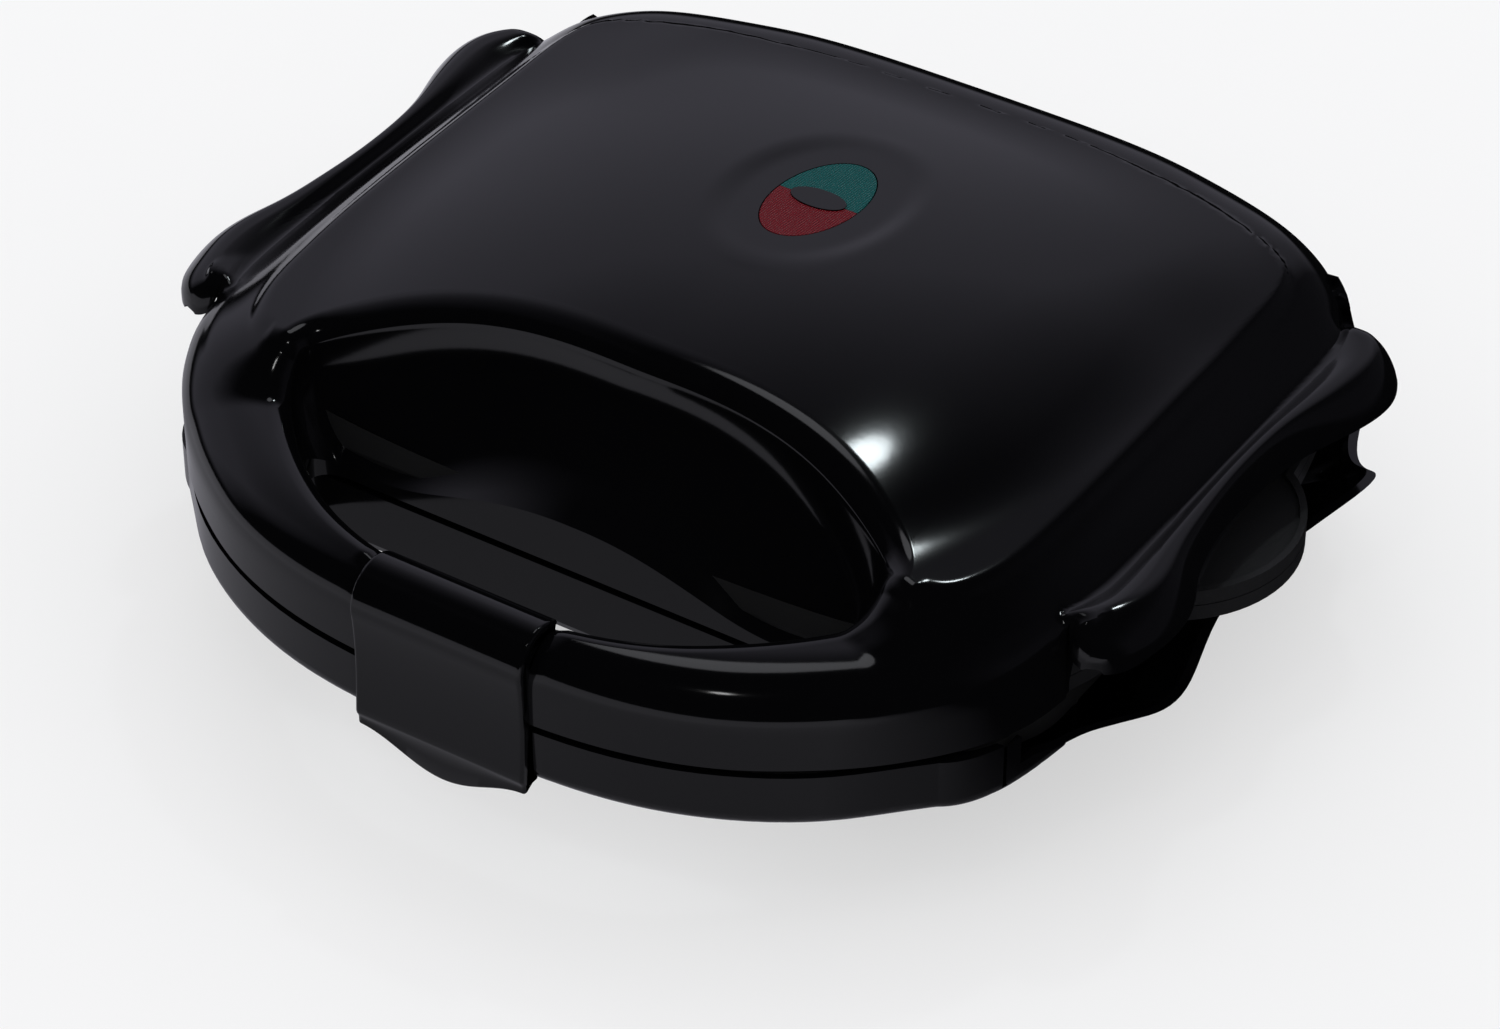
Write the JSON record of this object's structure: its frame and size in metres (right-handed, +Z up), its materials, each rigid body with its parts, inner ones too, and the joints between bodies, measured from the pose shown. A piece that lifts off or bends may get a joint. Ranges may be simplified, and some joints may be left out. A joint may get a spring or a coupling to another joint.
{
  "type": "three-in-one sandwich maker",
  "caption": "Countertop sandwich maker: domed lid hinged at the rear on a shallow base, pocketed cooking plates, bow handle with finger opening, clip latch and an oval lamp window.",
  "frame": {"origin": "under the middle of the bounding box, on the plane the feet stand on", "axes": "+X to the right seen from the front (the long way over the side lugs), +Y to the hinge at the rear, +Z up; the bow handle and the latch are at -Y"},
  "size_m": [0.2764, 0.25, 0.093],
  "materials": {
    "gloss_black": "moulded, polished",
    "frame_black": "moulded, fine grain",
    "coated_plate": "non-stick coating, dark grey",
    "sheet_steel": "pressed sheet",
    "steel": "plain",
    "green_lens": "tinted, clear",
    "red_lens": "tinted, clear",
    "lamp_glass": "clear",
    "white_plastic": "moulded",
    "wire_cover": "woven sleeve",
    "gland_rubber": "moulded",
    "foot_rubber": "moulded"
  },
  "bodies": {
    "base": {"base_cover": "gloss_black", "base_inner_frame": "frame_black", "lower_reflector_pan": "sheet_steel", "lower_heating_element": "steel", "lower_element_brackets": "sheet_steel", "lower_plate": "coated_plate", "lower_plate_clips": "sheet_steel", "terminal_block": "white_plastic", "cord_gland": "gland_rubber", "base_wiring": "wire_cover", "hinge_pins": "steel", "base_screws": "steel", "feet": "foot_rubber"},
    "lid": {"lid_cover": "gloss_black", "lid_inner_frame": "frame_black", "upper_reflector_pan": "sheet_steel", "upper_heating_element": "steel", "upper_element_brackets": "sheet_steel", "upper_plate": "coated_plate", "upper_plate_clips": "sheet_steel", "green_lens": "green_lens", "red_lens": "red_lens", "lens_centre_cap": "gloss_black", "lamp_holder": "white_plastic", "indicator_lamps": "lamp_glass", "lamp_holder_screws": "steel", "thermostat": "steel", "thermostat_screws": "steel", "thermal_fuse": "steel", "fuse_strap": "sheet_steel", "lid_wiring": "wire_cover", "lid_screws": "steel", "latch_pin": "steel"},
    "latch": {"latch": "gloss_black"}
  },
  "joints": [
    {"name": "lid_hinge", "type": "hinge", "parent": "base", "child": "lid", "pos_m": [0, 0.112, 0.052], "axis": [-1, 0, 0], "range_deg": [0, 100]},
    {"name": "latch_hinge", "type": "hinge", "parent": "lid", "child": "latch", "pos_m": [0, -0.1154, 0.06], "axis": [-1, 0, 0], "range_deg": [0, 55]}
  ]
}
